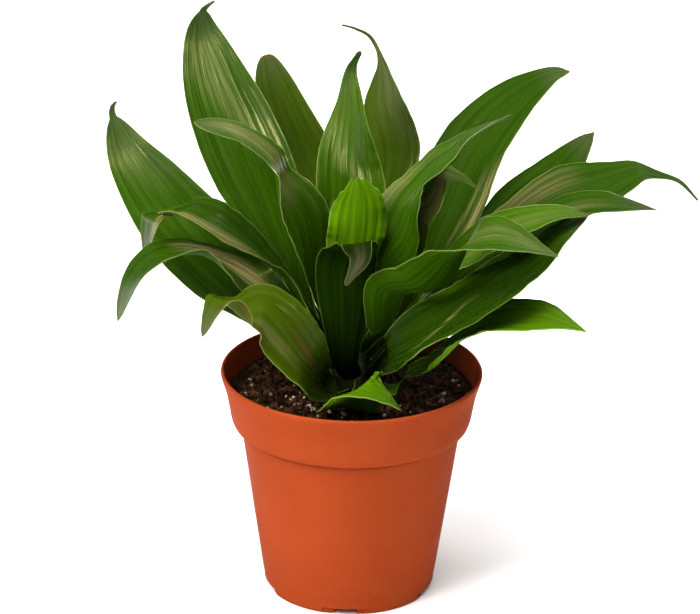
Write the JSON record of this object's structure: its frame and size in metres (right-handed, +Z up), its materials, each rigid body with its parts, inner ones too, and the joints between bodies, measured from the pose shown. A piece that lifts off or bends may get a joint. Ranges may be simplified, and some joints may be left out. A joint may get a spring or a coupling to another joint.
{
  "type": "potted dracaena plant",
  "caption": "Compact potted foliage plant: glossy strap leaves clasp a short stem in a rosette above potting soil in a round tapered grower's pot with drain notches.",
  "frame": {"origin": "middle of the bounding box's underside, in the plane that the pot's foot ring stands on; the pot's axis is 19 mm to the left of it and 24 mm in front of it", "axes": "+Z up along the pot's axis, +X to the right and -Y towards the viewer when the plant is seen from its front"},
  "size_m": [0.2365, 0.1613, 0.2355],
  "materials": {
    "pot_plastic": "satin moulded plastic, terracotta colour",
    "potting_soil": "damp dark potting mix with pale perlite grains",
    "stem": "ringed green-brown bark",
    "leaf": "glossy waxy leaf with fine lengthwise ribs"
  },
  "bodies": {
    "root": {"pot": "pot_plastic", "soil": "potting_soil", "stem": "stem", "leaf_left_wide": "leaf", "leaf_left_tall": "leaf", "leaf_left_inner": "leaf", "leaf_left_arch_upper": "leaf", "leaf_left_arch_lower": "leaf", "leaf_front_left": "leaf", "leaf_front_short": "leaf", "leaf_centre_folded": "leaf", "leaf_centre_bright": "leaf", "leaf_centre_upright": "leaf", "leaf_back_blunt": "leaf", "leaf_back_hooked": "leaf", "leaf_right_tall": "leaf", "leaf_right_twisted": "leaf", "leaf_right_curled": "leaf", "leaf_right_blunt": "leaf", "leaf_right_long": "leaf", "leaf_right_broad": "leaf", "leaf_right_mid": "leaf", "leaf_right_slim": "leaf", "leaf_right_front": "leaf", "leaf_right_low": "leaf", "leaf_rear_right": "leaf", "leaf_rear_centre": "leaf", "leaf_rear_left": "leaf", "leaf_young_left": "leaf", "leaf_young_right": "leaf"}
  },
  "joints": []
}
